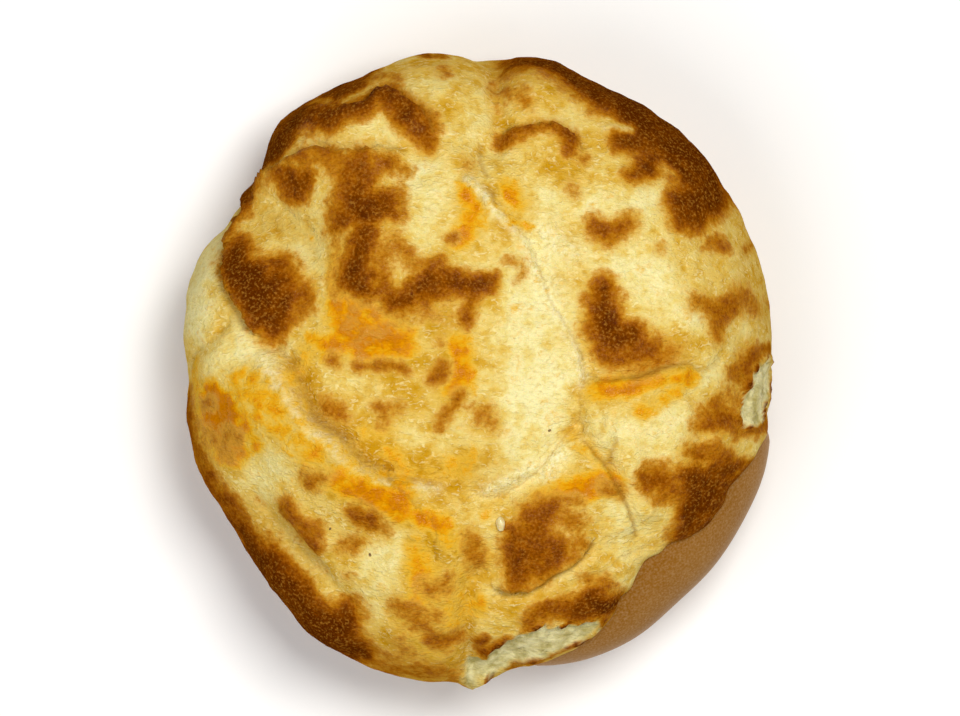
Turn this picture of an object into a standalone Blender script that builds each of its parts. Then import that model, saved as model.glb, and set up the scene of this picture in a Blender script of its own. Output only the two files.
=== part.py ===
"""Cheese bread: a soft round bun under one blanket of melted, toasted cheese.

The bun stands on its flat foot, centred on the origin, with +Z up and its front towards -Y.
Sizes are given in millimetres and are turned to metres when a mesh is made.
"""

import math

import bmesh
import bpy
import numpy as np
from mathutils import Vector, noise

MM = 0.001

# Driving sizes of the bread
WIDTH = 118.8
DEPTH = 126.4
BUN_HEIGHT = 46.5
WAIST_HEIGHT = 20.0
FOOT_FLATTENED = 1.6
SHOULDER_POWER = 2.35
HEEL_POWER = 3.0
CHEESE_THICKNESS = 3.0
CHEESE_GAP = 0.7
LIP_SHARE = 0.035

# Where the outline bulges or is pinched: angle from +X and half width in degrees, height
OUTLINE_BULGES = (
    (0, 10, 0.2),
    (20, 8, 0.6),
    (45, 12, 0.9),
    (90, 5, -1.0),
    (118, 18, 1.7),
    (143, 9, -3.0),
    (165, 8, 0.8),
    (178, 9, -1.9),
    (215, 12, -1.7),
    (247, 12, 1.5),
    (283, 8, -3.0),
    (330, 18, 0.9),
)

# How high the blanket's hem hangs above the table, by angle from +X: low nearly all the way
# round, and pulled up at the lower right and at the upper left, where the bun shows
HEM_HEIGHTS = (
    (-180, 10.0),
    (-160, 8.0),
    (-138, 9.5),
    (-118, 13.0),
    (-100, 12.0),
    (-88, 17.0),
    (-76, 23.0),
    (-67, 27.0),
    (-61, 33.0),
    (-54, 36.5),
    (-46, 37.0),
    (-33, 35.5),
    (-18, 34.5),
    (-11, 31.0),
    (-4, 21.0),
    (6, 11.5),
    (32, 9.0),
    (60, 13.0),
    (90, 10.0),
    (118, 9.0),
    (134, 13.0),
    (142, 25.0),
    (149, 28.0),
    (156, 23.0),
    (164, 12.0),
    (180, 10.0),
)

# Soft swellings of the blanket: height, half width, and the points that they run through
SWELLINGS = (
    (2.2, 13.0, ((-30, 30), (-22, 22))),
    (1.4, 15.0, ((-10, 14), (6, -2))),
    (2.0, 15.0, ((30, 34), (38, 14))),
    (1.4, 9.0, ((44, -4), (38, -12))),
    (3.0, 7.5, ((-52, 0), (-41, -7), (-31, -16), (-20, -25), (-6, -31))),
    (1.8, 6.0, ((-40, -42), (-30, -52))),
    (1.8, 8.0, ((-16, -40), (-13, -52))),
    (2.0, 8.0, ((10, -30), (17, -29))),
    (1.8, 7.0, ((12, -50), (24, -44))),
    (1.6, 8.0, ((38, -22), (46, -16))),
    (1.8, 8.0, ((-12, 55), (-26, 49))),
    (1.5, 7.0, ((12, 56), (24, 53))),
    (1.4, 6.0, ((-56, 14), (-58, 6))),
)

# Creases: depth, half width, and the points that they run through
CREASES = (
    (3.2, 2.4, ((-42, 6), (-38, 2), (-34, -6), (-28, -13), (-22, -18.5), (-18, -22))),
    (2.2, 1.8, ((-18, -22), (-11, -23), (-4, -26), (4, -24.5), (10, -20.5), (14, -15.5), (19.5, -11.5))),
    (1.8, 1.5, ((19.5, -11.5), (20, -6), (21, -2), (19, 4.5), (14.5, 11.5), (14, 16.5), (9, 24))),
    (1.5, 1.5, ((9, 24), (4.5, 28), (2, 36), (2.5, 43.5))),
    (3.0, 2.2, ((4, 63), (3, 56), (4, 50), (2.5, 43.5))),
    (1.6, 2.0, ((19, 45), (25, 45.7), (32, 47.5))),
    (2.4, 1.8, ((-0.4, -34), (0.2, -40), (-3, -46), (-2.5, -52), (-2, -60))),
    (2.6, 3.0, ((-47, -26), (-38, -36), (-31, -42), (-25, -47))),
    (1.6, 1.6, ((-60, 3), (-55, 4), (-51.5, 8), (-50, 11))),
    (1.4, 1.3, ((26.7, -13), (26, -19))),
    (1.5, 1.6, ((34, -37), (26, -40), (19, -37))),
)

# Overlaps, where one sheet of cheese has slid over the next: step, how far back the raised
# sheet runs out, and the points of its edge, with the raised sheet on the left of the way
OVERLAPS = (
    (2.4, 9.0, ((-15, 43), (-21, 43.5), (-27, 42.3), (-34, 42.5), (-39, 39), (-44, 35.5))),
    (2.2, 7.0, ((-8, 46), (-11, 51), (-16, 55), (-20, 54.5), (-25, 51.5), (-35, 51))),
    (2.4, 8.0, ((-46.5, 37), (-46.5, 30), (-50, 25), (-51, 19), (-50, 14))),
    (1.8, 9.0, ((47, 1.5), (41, 1), (34, -0.8), (27, -2.6), (22, -3))),
    (2.0, 9.0, ((3, -43.7), (8, -43.6), (12, -42.2), (17, -38.9), (21, -36), (23.5, -33))),
    (1.8, 8.0, ((31, -33), (29, -28), (26.5, -23), (25, -19), (20.5, -14))),
    (2.0, 8.0, ((-28, -42), (-33, -37.5), (-37, -32), (-40.5, -25.5))),
)

# Tears, where the toasted skin came away: depth, half width and points
TEARS = (
    (1.6, 4.2, ((4, -58), (14, -54), (22, -51))),
    (1.4, 3.6, ((53.5, -8), (56.5, -1))),
)

# Slow unevenness: height of the lumps, and their size across
BLANKET_LUMPS = ((0.8, 15.0), (0.45, 6.5))
BUN_LUMPS = ((0.5, 32.0),)

BALL_ROWS_BLANKET = 56
BALL_ROWS_BUN = 18
BLANKET_TRIANGLES_KEPT = 0.25


def clear_scene():
    """Starts from an empty scene."""
    for thing in list(bpy.data.objects):
        bpy.data.objects.remove(thing)


def wrapped(angle, centre):
    """The signed turn in degrees from centre to angle."""
    return (np.degrees(angle) - centre + 180) % 360 - 180


def outline(angle):
    """The outline's radius at an angle, seen from above."""
    mean, swing = (WIDTH + DEPTH) / 4, (DEPTH - WIDTH) / 4
    radius = mean - swing * np.cos(2 * angle)
    for centre, half_width, height in OUTLINE_BULGES:
        radius = radius + height * np.exp(-((wrapped(angle, centre) / half_width) ** 2))
    return radius


def hem_height(angle):
    """The height of the blanket's lower edge above the table, with small drips along it."""
    angles, heights = zip(*HEM_HEIGHTS)
    drips = 0.7 * np.sin(7 * angle + 0.6) + 0.6 * np.sin(17 * angle + 2.0)
    return np.interp(np.degrees(angle), angles, heights) + drips


def bun_outline(angle):
    """The bun alone: as far out as the outline where it is bare, and inside the cheese elsewhere."""
    bare = np.clip((hem_height(angle) - WAIST_HEIGHT - 4.0) / 13.0, 0, 1)
    bare = bare * bare * (3 - 2 * bare)
    return outline(angle) - (1 - bare) * (CHEESE_THICKNESS + CHEESE_GAP)


def bun_surface(direction):
    """Points and outward normals of the bun along rays from the middle of its waist."""
    flat = np.hypot(direction[:, 0], direction[:, 1])
    angle = np.arctan2(direction[:, 1], direction[:, 0])
    reach = bun_outline(angle)
    upper = direction[:, 2] >= 0
    rise = np.where(upper, BUN_HEIGHT - WAIST_HEIGHT, WAIST_HEIGHT + FOOT_FLATTENED)
    power = np.where(upper, SHOULDER_POWER, HEEL_POWER)
    level = np.abs(direction[:, 2])
    length = ((flat / reach) ** power + (level / rise) ** power) ** (-1 / power)
    points = direction * length[:, None]
    points[:, 2] += WAIST_HEIGHT
    outward = (flat / reach) ** (power - 1) / reach
    upward = np.sign(direction[:, 2]) * (level / rise) ** (power - 1) / rise
    normals = np.column_stack((outward * np.cos(angle), outward * np.sin(angle), upward))
    return points, normals / np.linalg.norm(normals, axis=1)[:, None]


def on_bun(x, y):
    """The point of the bun's upper half that lies under a point of the plan."""
    angle = math.atan2(y, x)
    share = min(math.hypot(x, y) / float(bun_outline(np.array(angle))), 0.9995)
    lift = (1 - share**SHOULDER_POWER) ** (1 / SHOULDER_POWER)
    return (x, y, WAIST_HEIGHT + (BUN_HEIGHT - WAIST_HEIGHT) * lift)


def along_path(points, path):
    """Each point's distance from a path on the bun, its side of it, and its share of the way."""
    stops = np.array([on_bun(x, y) for x, y in path])
    lengths = np.linalg.norm(np.diff(stops, axis=0), axis=1)
    nearest = np.full(len(points), np.inf)
    side, share = np.zeros(len(points)), np.zeros(len(points))
    for i, (start, end) in enumerate(zip(stops[:-1], stops[1:])):
        way = end - start
        t = np.clip((points - start) @ way / (way @ way), 0, 1)
        away = points - (start + t[:, None] * way)
        distance = np.linalg.norm(away, axis=1)
        closer = distance < nearest
        nearest[closer] = distance[closer]
        side[closer] = np.sign(way[0] * away[:, 1] - way[1] * away[:, 0])[closer]
        share[closer] = ((lengths[:i].sum() + t * lengths[i]) / lengths.sum())[closer]
    return nearest, side, share


def lumps(points, layers, seed):
    """Slow random unevenness in several sizes, the same each time for a seed."""
    height = np.zeros(len(points))
    for size, across in layers:
        shift = Vector((seed * 7.3, seed * 3.1, across))
        height += size * np.array([noise.noise(Vector(p) / across + shift) for p in points])
    return height


def faded_ends(share, ramp=0.16):
    """One along the middle of a path, falling to nothing at both its ends."""
    return np.clip(share / ramp, 0, 1) * np.clip((1 - share) / ramp, 0, 1)


def blanket_relief(points):
    """How far the cheese stands out from, or sinks into, its even thickness."""
    height = lumps(points, BLANKET_LUMPS, seed=1)
    for swell, half_width, path in SWELLINGS:
        distance, _, _ = along_path(points, path)
        height += swell * np.exp(-((distance / half_width) ** 2))
    for step, run_out, path in OVERLAPS:
        distance, side, share = along_path(points, path)
        signed = distance * side
        raised = 0.5 * (1 + np.tanh(signed / 0.7)) * np.exp(-np.maximum(signed, 0) / run_out)
        height += step * faded_ends(share) * raised
    for depth, half_width, path in CREASES:
        distance, _, _ = along_path(points, path)
        height -= depth * np.exp(-((distance / half_width) ** 1.4))
    for depth, half_width, path in TEARS:
        distance, _, _ = along_path(points, path)
        height -= depth * 0.5 * (1 - np.tanh((distance - half_width) / 0.6))
    return height


def hem_tilt(angle):
    """How far round from the top, in radians, the blanket reaches at an angle."""
    lift = hem_height(angle) - WAIST_HEIGHT
    above = lift >= 0
    rise = np.where(above, BUN_HEIGHT - WAIST_HEIGHT, WAIST_HEIGHT + FOOT_FLATTENED)
    power = np.where(above, SHOULDER_POWER, HEEL_POWER)
    flat = bun_outline(angle) * (1 - (np.abs(lift) / rise) ** power) ** (1 / power)
    return np.arctan2(flat, lift)


def ball(rows):
    """A ball of squares: a cube cut into rows and blown up. Rows are even, so one loop is its equator."""
    mesh = bmesh.new()
    bmesh.ops.create_cube(mesh, size=2.0)
    bmesh.ops.subdivide_edges(mesh, edges=mesh.edges[:], cuts=rows - 1, use_grid_fill=True)
    for vertex in mesh.verts:
        even = Vector([math.tan(c * math.pi / 4) for c in vertex.co])
        vertex.co = even.normalized()
    return mesh


def directions_of(mesh):
    """The ball's vertices as rows of an array."""
    return np.array([vertex.co for vertex in mesh.verts])


def finished(mesh, points, name, colour, roughness):
    """Makes the object of a shaped ball, with its material, in metres."""
    for vertex, point in zip(mesh.verts, points):
        vertex.co = Vector(point) * MM
    bmesh.ops.recalc_face_normals(mesh, faces=mesh.faces[:])
    data = bpy.data.meshes.new(name)
    mesh.to_mesh(data)
    mesh.free()
    data.shade_smooth()
    thing = bpy.data.objects.new(name, data)
    bpy.context.scene.collection.objects.link(thing)
    material = bpy.data.materials.new(name)
    material.use_nodes = True
    shader = material.node_tree.nodes["Principled BSDF"]
    shader.inputs["Base Color"].default_value = (*colour, 1)
    shader.inputs["Roughness"].default_value = roughness
    data.materials.append(material)
    return thing


def make_bun():
    """The bread: a ball pushed out to the bun's form and pressed flat where the tray held it."""
    mesh = ball(BALL_ROWS_BUN)
    points, normals = bun_surface(directions_of(mesh))
    bumps = lumps(points, BUN_LUMPS, seed=4) - BUN_LUMPS[0][0]
    points += normals * bumps[:, None]
    points[:, 2] = np.maximum(points[:, 2], 0)
    return finished(mesh, points, "bread_bun", colour=(0.55, 0.31, 0.12), roughness=0.5)


def make_blanket():
    """The cheese: a ball whose lower half is pushed up into its upper half and laid over the bun."""
    mesh = ball(BALL_ROWS_BLANKET)
    direction = directions_of(mesh)
    angle = np.arctan2(direction[:, 1], direction[:, 0])
    polar = np.arccos(np.clip(direction[:, 2], -1, 1))
    outer = direction[:, 2] > 1e-6
    share = np.where(outer, polar, math.pi - polar) / (math.pi / 2)
    tilt = share * hem_tilt(angle)
    over_bun = np.column_stack((np.sin(tilt) * np.cos(angle), np.sin(tilt) * np.sin(angle), np.cos(tilt)))
    points, normals = bun_surface(over_bun)
    rounding = np.sqrt(1 - np.clip((share - 1 + LIP_SHARE) / LIP_SHARE, 0, 1) ** 2)
    thickness = np.maximum(CHEESE_THICKNESS + blanket_relief(points), 0.8)
    stand_off = CHEESE_GAP + np.where(outer, thickness * rounding, 0)
    points += normals * stand_off[:, None]
    thing = finished(mesh, points, "cheese_blanket", colour=(0.80, 0.60, 0.22), roughness=0.45)
    fewer = thing.modifiers.new("fewer triangles", "DECIMATE")
    fewer.ratio = BLANKET_TRIANGLES_KEPT
    return thing


clear_scene()
make_bun()
make_blanket()
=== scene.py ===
"""Cheese bread: a soft round bun under one blanket of melted, toasted cheese.

Sizes are in millimetres until a mesh is made.
"""

import bpy
import numpy as np
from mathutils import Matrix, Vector, noise


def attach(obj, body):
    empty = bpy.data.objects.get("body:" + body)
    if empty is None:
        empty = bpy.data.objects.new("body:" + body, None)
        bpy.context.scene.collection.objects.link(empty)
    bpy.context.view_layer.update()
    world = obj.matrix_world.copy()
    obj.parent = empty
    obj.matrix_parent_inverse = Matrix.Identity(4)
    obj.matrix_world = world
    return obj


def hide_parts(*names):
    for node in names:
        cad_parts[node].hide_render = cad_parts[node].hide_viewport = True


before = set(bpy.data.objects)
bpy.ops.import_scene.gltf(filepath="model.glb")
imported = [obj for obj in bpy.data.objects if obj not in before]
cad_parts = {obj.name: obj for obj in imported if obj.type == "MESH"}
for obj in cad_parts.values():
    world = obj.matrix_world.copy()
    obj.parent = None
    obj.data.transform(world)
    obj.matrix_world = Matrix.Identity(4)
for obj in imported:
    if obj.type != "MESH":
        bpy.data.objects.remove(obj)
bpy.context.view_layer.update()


# Camera, floor and light: the bun is looked at from straight above through a long lens, and
# stands on a pale floor under one large soft lamp at the upper right and a weaker one opposite.

MM = 0.001
VIEW_WIDTH = 192.0
VIEW_CENTRE = (0.0, 2.2)
WAIST_HEIGHT = 20.0
CAMERA_DISTANCE = 2500.0
SENSOR_WIDTH = 36.0

bpy.ops.object.camera_add(
    location=(
        VIEW_CENTRE[0] * MM,
        VIEW_CENTRE[1] * MM,
        (WAIST_HEIGHT + CAMERA_DISTANCE) * MM,
    ),
    rotation=(0, 0, 0),
)
camera = bpy.context.object
camera.data.sensor_width = SENSOR_WIDTH
camera.data.lens = SENSOR_WIDTH * CAMERA_DISTANCE / VIEW_WIDTH
bpy.context.scene.camera = camera


def linear(colour):
    """An sRGB hex colour as linear red, green, blue and alpha."""
    shares = [int(colour[i : i + 2], 16) / 255 for i in (1, 3, 5)]
    return [c / 12.92 if c <= 0.04045 else ((c + 0.055) / 1.055) ** 2.4 for c in shares] + [1.0]


def soft_lamp(name, place, size, power, colour):
    """A square lamp at a place in metres, turned to the middle of the bun."""
    bpy.ops.object.light_add(type="AREA", location=place)
    lamp = bpy.context.object
    lamp.name = name
    way = Vector((0, 0, WAIST_HEIGHT * MM)) - Vector(place)
    lamp.rotation_euler = way.to_track_quat("-Z", "Y").to_euler()
    lamp.data.shape = "SQUARE"
    lamp.data.size = size
    lamp.data.energy = power
    lamp.data.color = linear(colour)[:3]


soft_lamp("key_lamp", (0.22, 0.22, 0.95), 0.4, 7.5, "#FFFCF6")
soft_lamp("fill_lamp", (-0.42, -0.42, 0.8), 0.7, 3.9, "#FCFBFC")

world = bpy.data.worlds.new("pale_room")
bpy.context.scene.world = world
world.use_nodes = True
world.node_tree.nodes["Background"].inputs["Color"].default_value = linear("#F2F4F6")
world.node_tree.nodes["Background"].inputs["Strength"].default_value = 0.22
bpy.context.scene.view_settings.view_transform = "Standard"


def add(tree, kind, inputs=(), **settings):
    """Adds a node with its settings, colour stops and inputs, which are values or other sockets."""
    made = tree.nodes.new("ShaderNode" + kind)
    stops = settings.pop("stops", None)
    for name, value in settings.items():
        setattr(made, name, value)
    if stops:
        ramp = made.color_ramp
        while len(ramp.elements) < len(stops):
            ramp.elements.new(0.5)
        for element, (place, colour) in zip(ramp.elements, stops):
            element.position = place
            element.color = linear(colour)
    for name, value in dict(inputs).items():
        if isinstance(value, bpy.types.NodeSocket):
            tree.links.new(value, made.inputs[name])
        else:
            made.inputs[name].default_value = value
    return made


def new_material(name):
    """An empty material's node tree, with its shader."""
    material = bpy.data.materials.new(name)
    material.use_nodes = True
    return material, material.node_tree, material.node_tree.nodes["Principled BSDF"]


bpy.ops.object.select_all(action="DESELECT")
bpy.ops.mesh.primitive_plane_add(size=6.0)
floor = bpy.context.object
floor.name = "floor"
painted_board, tree, shader = new_material("white_painted_board")
shader.inputs["Base Color"].default_value = linear("#FCFCFC")
shader.inputs["Roughness"].default_value = 0.7
floor.data.materials.append(painted_board)


# Bread bun: soft white dough, proved and baked in a round on a tray. Its crust is thin, smooth
# and tan, paler down the side, and it stands on the flat foot that the tray gave it.

BUN_HEIGHT = 46.5
FOOT_FLATTENED = 1.6
SHOULDER_POWER = 2.35
HEEL_POWER = 3.0
CHEESE_THICKNESS = 3.0
BUN_ROWS = 90

# How far the bread reaches, cheese and all, seen from above, every ten degrees from +X
OUTLINE = np.array((
    58.6, 59.4, 60.6, 60.4, 61.9, 62.3, 62.3, 62.4, 64.0, 63.0, 64.0, 63.8,
    63.8, 63.9, 59.1, 59.2, 60.6, 60.0, 58.9, 59.8, 60.0, 59.2, 59.6, 61.2,
    63.2, 64.0, 63.6, 63.0, 61.2, 62.2, 62.4, 61.6, 61.8, 61.4, 61.0, 59.6,
))

# How high the cheese's hem hangs above the floor, by angle from +X
HEM_HEIGHTS = (
    (-180, 10.0), (-160, 8.0), (-138, 9.5), (-118, 13.0), (-100, 12.0), (-92, 14.0), (-86, 20.0),
    (-79, 28.0), (-73, 31.0), (-68, 32.0), (-64, 33.5), (-58, 36.2), (-50, 37.4), (-43, 36.6),
    (-33, 34.2), (-25, 34.0), (-19, 32.0), (-14, 29.6), (-10, 25.6), (-4, 17.0), (6, 11.5),
    (32, 9.0), (60, 13.0), (90, 10.0), (118, 9.0), (134, 11.0), (142, 15.0), (149, 17.0),
    (156, 14.0), (166, 10.0), (180, 10.0),
)


def outline(angle):
    """The reach at an angle, on a smooth curve through the measured ones."""
    steps = np.degrees(angle) % 360 / 10
    low = np.floor(steps).astype(int)
    t = steps - low
    before, start, end, after = (OUTLINE[(low + k) % 36] for k in (-1, 0, 1, 2))
    bend = 2 * before - 5 * start + 4 * end - after + t * (3 * (start - end) + after - before)
    return start + 0.5 * t * (end - before + t * bend)


def hem_height(angle):
    """The height of the cheese's lower edge above the floor, with small drips along it."""
    angles, heights = zip(*HEM_HEIGHTS)
    drips = 0.7 * np.sin(7 * angle + 0.6) + 0.6 * np.sin(17 * angle + 2.0)
    drips += 0.35 * np.sin(41 * angle) + 0.25 * np.sin(67 * angle + 1.0)
    even = np.interp(np.degrees(angle), angles, heights)
    return even + drips * np.interp(even, (12, 30), (1.0, 0.35))


def soft_step(value, low, high):
    """Rises smoothly from 0 at low to 1 at high."""
    t = np.clip((value - low) / (high - low), 0, 1)
    return t * t * (3 - 2 * t)


def bun_outline(angle):
    """The bun alone: out to the outline where it is bare, and inside the cheese elsewhere."""
    bare = soft_step(hem_height(angle) - WAIST_HEIGHT, 1.5, 9.5)
    return outline(angle) - (1 - bare) * CHEESE_THICKNESS


def cloudy(points, size, seed):
    """Soft noise from -1 to 1 with patches of a size, the same each time for a seed."""
    shift = Vector((seed * 7.3, seed * 3.1, seed * 5.7))
    return np.array([noise.noise(Vector(p) / size + shift) for p in points])


def bun_curve(above):
    """How far the bun reaches above or below its waist, and how full its curve is there."""
    rise = np.where(above, BUN_HEIGHT - WAIST_HEIGHT, WAIST_HEIGHT + FOOT_FLATTENED)
    return rise, np.where(above, SHOULDER_POWER, HEEL_POWER)


def bun_surface(direction):
    """Points and outward normals of the bun along rays from the middle of its waist."""
    flat = np.hypot(direction[:, 0], direction[:, 1])
    angle = np.arctan2(direction[:, 1], direction[:, 0])
    reach = bun_outline(angle)
    rise, power = bun_curve(direction[:, 2] >= 0)
    level = np.abs(direction[:, 2])
    length = ((flat / reach) ** power + (level / rise) ** power) ** (-1 / power)
    points = direction * length[:, None]
    points[:, 2] += WAIST_HEIGHT
    outward = (flat / reach) ** (power - 1) / reach
    upward = np.sign(direction[:, 2]) * (level / rise) ** (power - 1) / rise
    normals = np.column_stack((outward * np.cos(angle), outward * np.sin(angle), upward))
    return points, normals / np.linalg.norm(normals, axis=1)[:, None]


def settled(points, normals):
    """The points moved in a little, unevenly, as soft dough settles."""
    return points + normals * (0.5 * cloudy(points, 32, 4) - 0.5)[:, None]


def cube_of_squares(name, rows):
    """A cube cut into rows of squares, left in edit mode."""
    bpy.ops.object.select_all(action="DESELECT")
    bpy.ops.mesh.primitive_cube_add(size=2)
    thing = bpy.context.object
    thing.name = name
    bpy.ops.object.mode_set(mode="EDIT")
    bpy.ops.mesh.select_all(action="SELECT")
    bpy.ops.mesh.subdivide(number_cuts=rows - 1)
    return thing


def corners(thing):
    """A mesh's vertices as rows of an array."""
    flat = np.empty(len(thing.data.vertices) * 3)
    thing.data.vertices.foreach_get("co", flat)
    return flat.reshape(-1, 3)


def blown_up(cube):
    """The directions of a cut cube's vertices once it is blown up to an even ball."""
    even = np.tan(cube * np.pi / 4)
    return even / np.linalg.norm(even, axis=1)[:, None]


def place_corners(thing, points):
    """Moves a mesh's vertices to points in millimetres and smooths its shading."""
    thing.data.vertices.foreach_set("co", (points * MM).ravel())
    thing.data.update()
    thing.data.shade_smooth()


def paint(thing, name, values):
    """Keeps one number for each vertex, for the material to read."""
    thing.data.attributes.new(name, "FLOAT", "POINT").data.foreach_set("value", values)


bun = cube_of_squares("bun", BUN_ROWS)
bpy.ops.object.mode_set(mode="OBJECT")
bun_points = settled(*bun_surface(blown_up(corners(bun))))
bun_points[:, 2] = np.maximum(bun_points[:, 2], 0)
place_corners(bun, bun_points)

# Baked crust of milk bread: a thin skin, tan and a little glossy from its sugar and fat, paler
# and pinker down the side that baked in the shade, and browner again where the foot met the tray.
# It is mottled about every 9 mm, with dots of flour of 0.5 mm and blisters of 1.4 mm.
crust, tree, shader = new_material("baked_milk_bread_crust")
where = add(tree, "TexCoord").outputs["Object"]
height = add(tree, "SeparateXYZ", {0: where}).outputs["Z"]
mottle = add(tree, "TexNoise", {"Vector": where, "Scale": 110, "Detail": 3}).outputs["Fac"]
level = add(tree, "MapRange", {"Value": height, "From Min": 0.0, "From Max": 0.042}).outputs[0]
level = add(tree, "Math", {0: mottle, 1: 0.28, 2: level}, operation="MULTIPLY_ADD").outputs[0]
down_the_side = add(tree, "ValToRGB", {0: level}, stops=(
    (0.08, "#8E5E24"),
    (0.16, "#BA9264"),
    (0.42, "#B89062"),
    (0.62, "#A47536"),
    (1.0, "#8C5912"),
)).outputs[0]
dots = add(tree, "TexNoise", {"Vector": where, "Scale": 2100, "Detail": 3}).outputs["Fac"]
dots = add(tree, "MapRange", {
    "Value": dots, "From Min": 0.4, "From Max": 0.75, "To Max": 0.26,
}).outputs[0]
speckled = add(tree, "MixRGB", {0: dots, 1: down_the_side, 2: linear("#D9B88A")}).outputs[0]
tree.links.new(speckled, shader.inputs["Base Color"])
blisters = add(tree, "TexNoise", {"Vector": where, "Scale": 700, "Detail": 4}).outputs["Fac"]
bump = add(tree, "Bump", {"Height": blisters, "Strength": 0.25, "Distance": 0.0003})
tree.links.new(bump.outputs[0], shader.inputs["Normal"])
shader.inputs["Roughness"].default_value = 0.4
shader.inputs["IOR"].default_value = 1.35
shader.inputs["Specular IOR Level"].default_value = 0.06
shader.inputs["Subsurface Weight"].default_value = 0.08
shader.inputs["Subsurface Radius"].default_value = (0.0025, 0.0012, 0.0006)
bun.data.materials.append(crust)

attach(bun, "root")
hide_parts("bread_bun")


# Cheese blanket: shredded and creamy cheese that melted over the bun in the oven, slid into
# folds, and browned where it stood highest. It is a sheet about 3 mm thick with a rounded hem.

SHEET_ROWS = 166
UNDERSIDE_RINGS = 9

# The gap to the crust, the least thickness, how thin the hem is as a share, how far up the sheet
# that thinning and the flattening of folds reach, and the length of the hem's rounding
SHEET_GAP = 0.12
LEAST_THICKNESS = 0.6
HEM_THINNED = 0.55
THINNING_REACH = 5.0
FLATTENING_REACH = 4.0
LIP_LENGTH = 2.6

# Soft swellings, and one hollow: height, half width, and the points that they run through
SWELLINGS = (
    (2.2, 13.0, ((-30, 30), (-22, 22))),
    (1.4, 15.0, ((-10, 14), (6, -2))),
    (2.0, 15.0, ((30, 34), (38, 14))),
    (1.4, 9.0, ((44, -4), (38, -12))),
    (3.0, 7.5, ((-52, 0), (-43, -7), (-33, -16), (-22, -25), (-8, -31))),
    (1.8, 6.0, ((-40, -42), (-30, -52))),
    (1.8, 8.0, ((-16, -40), (-13, -52))),
    (2.0, 8.0, ((10, -31), (17, -30))),
    (1.8, 7.0, ((12, -49), (24, -44))),
    (1.6, 8.0, ((38, -22), (46, -16))),
    (1.8, 8.0, ((-12, 55), (-26, 49))),
    (1.5, 7.0, ((12, 56), (24, 53))),
    (1.4, 6.0, ((-56, 14), (-58, 6))),
    (1.6, 3.0, ((28.5, -16), (30, -22), (31, -27))),
    (1.4, 3.0, ((22, -9), (24, -13))),
    (1.2, 2.6, ((54.5, -8), (55, -4))),
    (1.0, 2.6, ((33, -28), (38, -29.5))),
    (1.2, 3.0, ((-36, -29), (-33, -34))),
    (1.0, 2.5, ((16, -39), (22, -38), (28, -39))),
    (1.4, 1.5, ((-1.5, -62.6), (0.5, -61.8))),
    (-1.4, 7.0, ((-39, 30), (-33, 25))),
)

# Creases: depth, half width, how dark the line of painted shade in it is, and the points that they run
# through
CREASES = (
    (2.2, 1.4, 1.0, ((-41.5, 4.6), (-38, 1.5), (-36.3, -1.5), (-34.4, -5.3), (-31.8, -9.8),
        (-28.5, -12.5), (-26.3, -14), (-24.4, -16.4), (-22.5, -18.4), (-19.2, -19.8))),
    (1.3, 1.0, 0.9, ((-18.8, -19.6), (-18, -22), (-15, -24.2), (-12, -26.8), (-9.4, -29.5),
        (-8.6, -32.5), (-9.3, -35), (-8.4, -38))),
    (2.2, 1.8, 0.7, ((-18.5, -20.5), (-13, -22.2), (-8.4, -22.4), (-6, -24.8), (-3.5, -26.2),
        (-1, -24.9), (2, -25.6), (4.6, -25.2), (6.5, -23.8), (9.5, -22), (12, -19.8),
        (13.8, -17.5), (15.2, -15.5), (17, -13.2), (19.2, -11.2))),
    (1.7, 1.3, 0.6, ((19.2, -11.2), (19.6, -8), (20, -4.5), (21, -1.5), (20.2, 2), (18.4, 6),
        (15.4, 10.5), (13.6, 14), (13, 17.5), (11.4, 21), (10.6, 24.5))),
    (0.8, 0.9, 0.5, ((10.6, 24.5), (8, 27), (6, 28.6), (4.4, 31))),
    (0.6, 1.0, 0.8, ((0, 46), (-0.3, 44), (0.3, 41.5), (1.3, 39), (2.2, 37.8))),
    (0.5, 0.9, 0.8, ((2.4, 36), (2.6, 33.4), (3.6, 31.6))),
    (0.6, 0.7, 0.6, ((5.5, 30), (6.2, 28.4), (8.5, 27), (10.6, 27.3))),
    (3.4, 2.4, 0.0, ((3.6, 63), (3.5, 58), (3.3, 54), (4, 50), (4, 47.5), (2.8, 44.5))),
    (1.2, 1.2, 0.5, ((20.2, 1.5), (21.4, -1), (23.2, -2.6))),
    (2.8, 1.9, 0.3, ((-0.5, -40.5), (-2.4, -44), (-3.2, -48), (-3, -52), (-2, -56), (-2, -60))),
    (1.7, 3.4, 0.15, ((-45, -25), (-41, -31), (-36, -37), (-31, -42), (-27, -46))),
    (1.4, 1.3, 0.5, ((-57.5, 1), (-56, 3), (-52.5, 5.2), (-50.5, 9))),
    (0.9, 0.9, 0.9, ((26.8, -13.2), (26.1, -16), (25.8, -18.8))),
    (0.6, 0.8, 0.4, ((20, -11.4), (21.4, -13), (23.4, -13.2), (24.4, -11), (24.6, -8.5))),
    (0.9, 1.0, 0.5, ((38.5, -32.8), (34, -35.3), (31, -36.2), (26.5, -38), (22.5, -40.5))),
    (0.9, 0.9, 0.6, ((40.5, 1), (43.5, 0), (46, 0.6), (47.5, 3))),
    (0.8, 1.1, 0.3, ((-17.8, -46.5), (-17, -49), (-13, -51), (-9.5, -52.8), (-6, -54))),
    (0.8, 1.0, 0.5, ((56, -12.2), (52, -12.6), (48.5, -14.2))),
    (0.8, 1.2, 0.4, ((7.5, -57), (10.5, -55.2), (13, -53.6), (16, -52.6))),
)
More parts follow.
